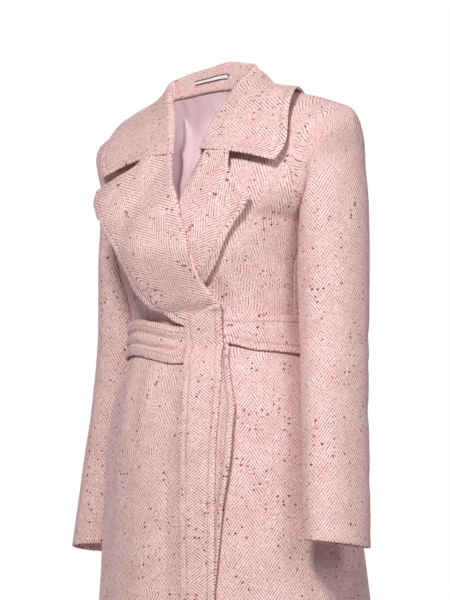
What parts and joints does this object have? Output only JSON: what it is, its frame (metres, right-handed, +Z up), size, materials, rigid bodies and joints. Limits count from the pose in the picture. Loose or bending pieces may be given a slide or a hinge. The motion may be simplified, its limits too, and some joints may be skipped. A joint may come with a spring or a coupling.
{
  "type": "wool wrap coat with a tied belt, worn, hollow",
  "caption": "Long wool wrap coat in its worn shape, hollow, with wide notched lapels, a turned-down collar, set-in sleeves and a tied cloth belt with hanging ends.",
  "frame": {"origin": "between the wearer's shoulders, at the height of the nape, where the coat hangs from the wearer", "axes": "+Z up, along the coat from the hem to the neck; the coat's front faces -Y; +X is the wearer's left"},
  "size_m": [0.518, 0.3965, 1.1529],
  "materials": {
    "tweed": "brushed wool herringbone tweed with dark and red flecks",
    "lining_satin": "smooth satin",
    "label_tape": "woven tape, bare"
  },
  "bodies": {
    "root": {"back": "tweed", "front_right": "tweed", "front_left": "tweed", "sleeve_right": "tweed", "sleeve_left": "tweed", "collar": "tweed", "lapel_right": "tweed", "lapel_left": "tweed", "belt_band": "tweed", "belt_end_front": "tweed", "belt_end_back": "tweed", "lining": "lining_satin", "label": "label_tape"}
  },
  "joints": []
}
